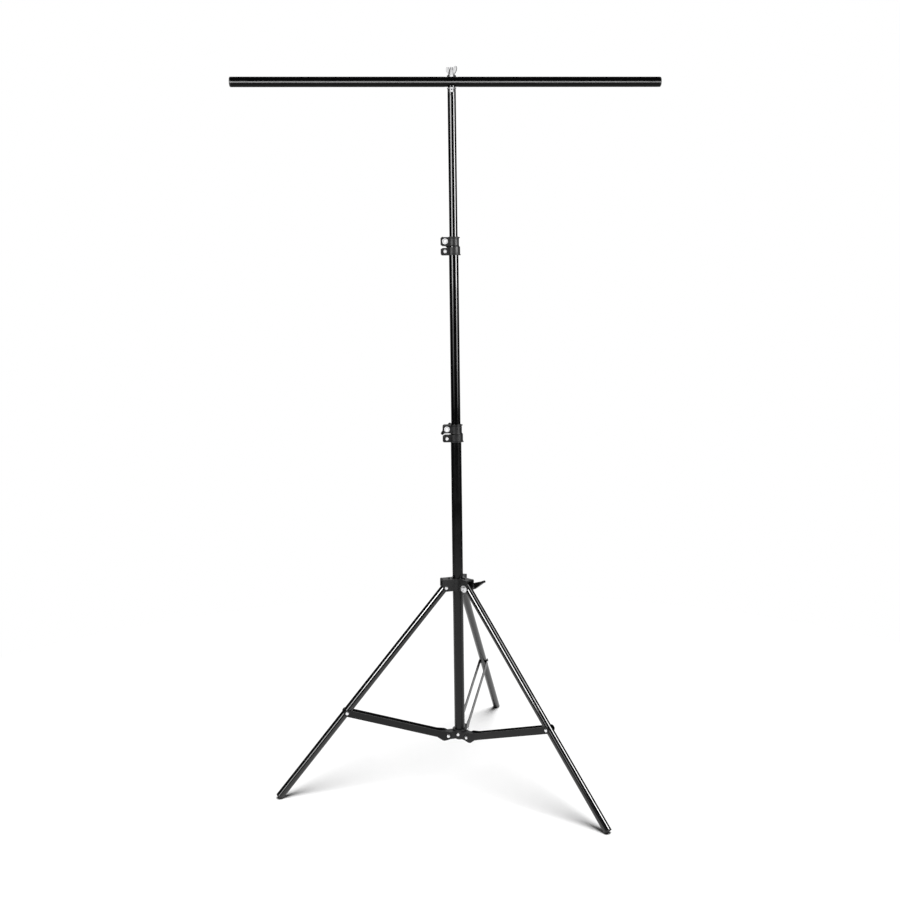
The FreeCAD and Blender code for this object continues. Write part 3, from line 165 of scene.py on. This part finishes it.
def finish_of(node):
    """Which of the materials a node has, from its name."""
    if node in ("top_tube", "middle_tube"):
        return "mast"
    if node in ("base_tube", "spigot_rivet"):
        return "base"
    if node == "crossbar_tube":
        return "bar"
    if node.startswith("leg_") and node.endswith("_tube"):
        return "leg"
    if node.endswith("_bars"):
        return "strut"
    if node.endswith("_foot"):
        return "foot"
    if node.endswith("_knob") or node == "crown_lever":
        return "knob"
    if node.endswith("_collar") or node in ("crown_casting", "lower_hub"):
        return "casting"
    if node == "spigot_set_screw":
        return "dark_steel"
    if any(word in node for word in PLATED_WORDS):
        return "chrome"
    return "trim"


def set_material(thing, finish):
    thing.data.materials.clear()
    thing.data.materials.append(MATERIALS[finish])


for name, thing in NODES.items():
    set_material(thing, finish_of(name))


# ---------------------------------------------------------------- thread and ribs

STUD_PITCH = 1.25 * MM
STUD_THREAD_DEPTH = 0.6 * MM
STUD_SIDES = 24
RINGS_PER_TURN = 8

# The ribs' size follows the rim of the foot's plug, which is its points within this band below the top.
RIM_BAND = 1.0 * MM
RIB_COUNT = 3
RIB_PITCH = 3.0 * MM
RIB_THICK = 0.45 * MM
RIB_STEPS = 40
RIB_SIDES = 8


def middle_of(node):
    """The middle of a CAD node's box, in the world."""
    thing = NODES[node]
    corners = [thing.matrix_world @ Vector(corner) for corner in thing.bound_box]
    return sum(corners, Vector()) / len(corners)


def new_piece(name, build, body, finish):
    """A smooth mesh with a material, riding on a CAD body."""
    mesh = bpy.data.meshes.new(name)
    bmesh.ops.recalc_face_normals(build, faces=build.faces)
    build.to_mesh(mesh)
    build.free()
    for polygon in mesh.polygons:
        polygon.use_smooth = True
    piece = bpy.data.objects.new(name, mesh)
    bpy.context.scene.collection.objects.link(piece)
    set_material(piece, finish)
    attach(piece, body)
    PIECES[name] = piece
    return piece


def skin(build, rings, closed=False):
    """Faces between rings of vertices, each to the next, and back to the first when closed."""
    pairs = list(zip(rings, rings[1:]))
    if closed:
        pairs.append((rings[-1], rings[0]))
    for lower, upper in pairs:
        for index in range(len(lower)):
            after = (index + 1) % len(lower)
            build.faces.new((lower[index], lower[after], upper[after], upper[index]))


def make_stud_thread():
    """The spigot's stud with its thread cut and a tapered end, in place of the plain CAD one."""
    low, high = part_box("spigot_stud")
    centre = (low + high) / 2
    crest = (high.x - low.x) / 2
    length = high.z - low.z
    count = int(length / STUD_PITCH * RINGS_PER_TURN)
    build = bmesh.new()
    rings = []
    for row in range(count + 1):
        height = length * row / count
        taper = 1.0 - min(1.0, (length - height) / STUD_PITCH)
        ring = []
        for step in range(STUD_SIDES):
            turn = step / STUD_SIDES
            phase = (height / STUD_PITCH - turn) % 1.0
            groove = abs(2.0 * phase - 1.0)
            radius = crest - STUD_THREAD_DEPTH * (groove + taper)
            angle = 2.0 * math.pi * turn
            out = Vector((math.cos(angle), math.sin(angle), 0.0))
            foot = Vector((centre.x, centre.y, low.z + height))
            ring.append(build.verts.new(foot + out * radius))
        rings.append(ring)
    skin(build, rings)
    build.faces.new(rings[0])
    build.faces.new(rings[-1])
    stud = new_piece("spigot_stud_threaded", build, "top_section", "chrome")
    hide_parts("spigot_stud")


def foot_rim(side):
    """The middle of the rim of a foot's plug, at its upper end, the leg's axis and the rim's radius."""
    foot = NODES[f"leg_{side}_foot"]
    points = [foot.matrix_world @ vertex.co for vertex in foot.data.vertices]
    end = middle_of(f"leg_{side}_foot")
    axis = (middle_of(f"leg_{side}_top_plug") - end).normalized()
    top = max((point - end).dot(axis) for point in points)
    rim = [point for point in points if top - (point - end).dot(axis) < RIM_BAND]
    hub = sum(rim, Vector()) / len(rim)
    hub -= axis * (hub - end).dot(axis)
    radius = max((point - hub - axis * (point - hub).dot(axis)).length for point in rim)
    return hub + axis * top, axis, radius


def add_rib(build, centre, axis, radius):
    """A thin ring with a round section."""
    across = axis.orthogonal().normalized()
    other = axis.cross(across)
    rings = []
    for step in range(RIB_STEPS):
        angle = 2.0 * math.pi * step / RIB_STEPS
        out = across * math.cos(angle) + other * math.sin(angle)
        ring = []
        for corner in range(RIB_SIDES):
            roll = 2.0 * math.pi * corner / RIB_SIDES
            offset = out * math.cos(roll) + axis * math.sin(roll)
            ring.append(build.verts.new(centre + out * radius + offset * RIB_THICK))
        rings.append(ring)
    skin(build, rings, closed=True)


def make_foot_ribs():
    """Thin ribs round the plug of each rubber foot, gripping the leg tube from inside, out of sight."""
    for side in ("back", "left", "right"):
        rim, axis, radius = foot_rim(side)
        build = bmesh.new()
        for number in range(RIB_COUNT):
            add_rib(build, rim - axis * RIB_PITCH * (number + 1), axis, radius)
        new_piece(f"leg_{side}_foot_ribs", build, f"leg_{side}", "foot")


make_stud_thread()
make_foot_ribs()


# ---------------------------------------------------------------- studio

# The camera sees the stand from a little to one side, and the lights are placed in its view.
TURN = Matrix.Rotation(math.radians(-3.9), 4, "Z")
CAMERA_PLACE = Vector((-0.0002, -2.4581, 1.1375))
CAMERA_YAW = math.radians(-0.335)
CAMERA_PITCH = math.radians(-7.773)
CAMERA_ROLL = math.radians(-0.773)
CAMERA_LENS = 42.13
CAMERA_SENSOR = 36.0
CAMERA_RANGE = (0.05, 200.0)

# A strip light's stretches, each with its lowest point, its highest point and its brightness.
STRIP_DISTANCE = 2.2
LEFT_STRIP = ((1.22, 2.5, 15.0), (1.1, 1.22, 6.0), (0.9, 1.1, 2.6), (0.72, 0.9, 1.2))
RIGHT_STRIP = ((1.22, 2.5, 29.0), (1.1, 1.22, 13.0), (0.86, 1.1, 9.0), (0.7, 0.86, 3.6))

# A streak along a front leg: its side, how far round the tube it lies in degrees, and its brightness
# from the foot to the crown.
STREAK_DISTANCE = 1.6
STREAK_LENGTH = 1.4
STREAK_WIDTH = 0.5
STREAKS = (
    ("left", -15.0, (6.0, 9.0, 28.0, 44.0)),
    ("right", -8.0, (0.3, 3.0, 28.0, 34.0)),
    ("right", 30.0, (34.0, 28.0, 10.0, 6.0)),
)

DAYLIGHT = 3.85
DAYLIGHT_SPREAD = math.radians(33.0)
DAYLIGHT_SLANT = Vector((-0.128, 0.268, -1.0))
WORLD_GLOW = 0.04
FLOOR_RADIUS = 2.0
FLOOR_FORWARD = 0.4
FLOOR_SIDES = 96


def around(angle, distance, height):
    """A place at an angle in degrees from the camera's side of the mast, to the right when positive."""
    side = math.radians(angle)
    return TURN @ Vector((distance * math.sin(side), -distance * math.cos(side), height))


def on_mast(height):
    """A place on the mast's axis."""
    return Vector((0.0, 0.0, height))


def named_group(name, pieces):
    """A collection of the pieces that one light is tied to."""
    group = bpy.data.collections.new(name)
    for piece in pieces:
        group.objects.link(PIECES[piece])
    return group


def soft_box(name, place, target, width, height, brightness, only):
    """A rectangular light seen only in the reflections of some pieces; brightness is its radiance."""
    data = bpy.data.lights.new(name, "AREA")
    data.shape = "RECTANGLE"
    data.size = width
    data.size_y = height
    data.energy = brightness * width * height * math.pi
    box = bpy.data.objects.new(name, data)
    bpy.context.scene.collection.objects.link(box)
    box.location = place
    box.rotation_euler = (target - place).to_track_quat("-Z", "Y").to_euler()
    box.visible_camera = False
    box.visible_diffuse = False
    box.light_linking.receiver_collection = named_group(f"{name}_lit", only)
    return box


def strip_light(name, angle, width, stretches, only):
    """A tall strip in stretches, facing the mast."""
    for number, (low, high, brightness) in enumerate(stretches):
        middle = (low + high) / 2
        place = around(angle, distance=STRIP_DISTANCE, height=middle)
        soft_box(f"{name}_{number}", place, on_mast(middle), width, high - low, brightness, only)


def leg_streak(side, turn, levels):
    """A strip that lies along a front leg and is seen in its tube as a streak.

    It stands where the camera is mirrored in the tube, at the place so far round it.
    """
    foot = middle_of(f"leg_{side}_foot")
    crown = middle_of(f"leg_{side}_top_plug")
    axis = (crown - foot).normalized()
    middle = (crown + foot) / 2
    view = (TURN @ CAMERA_PLACE - middle).normalized()
    normal = Quaternion(axis, math.radians(turn)) @ (view - axis * view.dot(axis)).normalized()
    centre = middle + (2 * normal.dot(view) * normal - view) * STREAK_DISTANCE
    back = (centre - middle).normalized()
    along = (axis - back * axis.dot(back)).normalized()
    aim = Matrix((along, back.cross(along), back)).transposed().to_4x4()
    leg = [name for name in PIECES if name.startswith(f"leg_{side}_")]
    stretch = STREAK_LENGTH / len(levels)
    for number, brightness in enumerate(levels):
        place = centre + along * ((number + 0.5) * stretch - STREAK_LENGTH / 2)
        name = f"leg_{side}_{turn:.0f}_{number}"
        box = soft_box(name, place, middle, stretch, STREAK_WIDTH, brightness, leg)
        box.matrix_world = Matrix.Translation(place) @ aim


def make_daylight(blockers):
    """Broad light from above, whose shadows on the floor come from some pieces only."""
    data = bpy.data.lights.new("overhead", "SUN")
    data.energy = DAYLIGHT
    data.angle = DAYLIGHT_SPREAD
    overhead = bpy.data.objects.new("overhead", data)
    bpy.context.scene.collection.objects.link(overhead)
    overhead.visible_glossy = False
    overhead.rotation_euler = (TURN @ DAYLIGHT_SLANT).to_track_quat("-Z", "Y").to_euler()
    overhead.light_linking.blocker_collection = named_group("overhead_blockers", blockers)


def make_lights():
    """Strips for the mast and the front legs, panels for the bar, the plating and the back, and daylight."""
    legs = [name for name in PIECES if name.startswith("leg_")]
    bar = [name for name in PIECES if name.startswith("crossbar_")]
    nut = ["wing_nut", "spigot_stud_threaded"]
    plating = [name for name in PIECES if finish_of(name) == "chrome" and name not in nut]
    mast = [name for name in PIECES if name not in legs + bar + nut + plating]
    strip_light("left_strip", angle=-38.0, width=0.85, stretches=LEFT_STRIP, only=mast)
    strip_light("right_strip", angle=57.0, width=0.75, stretches=RIGHT_STRIP, only=mast)
    for side, turn, levels in STREAKS:
        leg_streak(side, turn, levels)
    soft_box(
        "bar_panel",
        place=around(angle=0.0, distance=2.6, height=1.11),
        target=on_mast(middle_of("crossbar_tube").z),
        width=3.0,
        height=1.0,
        brightness=48.0,
        only=bar,
    )
    soft_box(
        "plating_panel",
        place=around(angle=0.0, distance=2.8, height=1.3),
        target=on_mast(1.2),
        width=5.0,
        height=2.6,
        brightness=1.25,
        only=plating,
    )
    nut_panel = soft_box(
        "nut_panel",
        place=around(angle=0.0, distance=2.2, height=1.9),
        target=on_mast(middle_of("wing_nut").z),
        width=9.0,
        height=4.0,
        brightness=0.85,
        only=nut,
    )
    nut_panel.visible_diffuse = True
    soft_box(
        "back_panel",
        place=around(angle=180.0, distance=3.0, height=1.3),
        target=on_mast(1.1),
        width=3.0,
        height=2.4,
        brightness=1.0,
        only=PIECES,
    )
    make_daylight(blockers=legs)


def make_floor():
    """A round sheet of pale paper, mostly in front of the stand, as white as the world round it."""
    mesh = bpy.data.meshes.new("studio_floor")
    build = bmesh.new()
    bmesh.ops.create_circle(build, cap_ends=True, segments=FLOOR_SIDES, radius=FLOOR_RADIUS)
    build.to_mesh(mesh)
    build.free()
    floor = bpy.data.objects.new("studio_floor", mesh)
    floor.location = around(angle=0.0, distance=FLOOR_FORWARD, height=0.0)
    bpy.context.scene.collection.objects.link(floor)
    recipe = Recipe("floor_paper", Specular_IOR_Level=0.0)
    recipe.colour(recipe.noise(cells=3.0), dark=(0.88, 0.88, 0.88), light=(0.9, 0.9, 0.9))
    recipe.roughness(recipe.noise(cells=2.0), low=0.9, high=1.0)
    floor.data.materials.append(recipe.material)


def make_world():
    """White to the camera, nearly dark to everything else."""
    world = bpy.data.worlds.new("studio")
    bpy.context.scene.world = world
    world.use_nodes = True
    tree = world.node_tree
    background = tree.nodes["Background"]
    path = tree.nodes.new("ShaderNodeLightPath")
    mix = tree.nodes.new("ShaderNodeMix")
    mix.data_type = "RGBA"
    mix.inputs["A"].default_value = (WORLD_GLOW, WORLD_GLOW, WORLD_GLOW, 1.0)
    mix.inputs["B"].default_value = (1.0, 1.0, 1.0, 1.0)
    tree.links.new(path.outputs["Is Camera Ray"], mix.inputs["Factor"])
    tree.links.new(mix.outputs["Result"], background.inputs["Color"])


def make_camera():
    """The camera, in front of the stand at two thirds of its height and looking slightly down."""
    data = bpy.data.cameras.new("camera")
    data.lens = CAMERA_LENS
    data.sensor_width = CAMERA_SENSOR
    data.clip_start, data.clip_end = CAMERA_RANGE
    camera = bpy.data.objects.new("camera", data)
    bpy.context.scene.collection.objects.link(camera)
    flat = math.cos(CAMERA_PITCH)
    forward = Vector((math.sin(CAMERA_YAW) * flat, math.cos(CAMERA_YAW) * flat, math.sin(CAMERA_PITCH)))
    right = Vector((math.cos(CAMERA_YAW), -math.sin(CAMERA_YAW), 0.0))
    up = right.cross(forward)
    x_axis = math.cos(CAMERA_ROLL) * right + math.sin(CAMERA_ROLL) * up
    y_axis = -math.sin(CAMERA_ROLL) * right + math.cos(CAMERA_ROLL) * up
    aim = Matrix((x_axis, y_axis, -forward)).transposed().to_4x4()
    camera.matrix_world = TURN @ Matrix.Translation(CAMERA_PLACE) @ aim
    bpy.context.scene.camera = camera


make_floor()
make_world()
make_lights()
make_camera()
bpy.context.scene.view_settings.view_transform = "Standard"
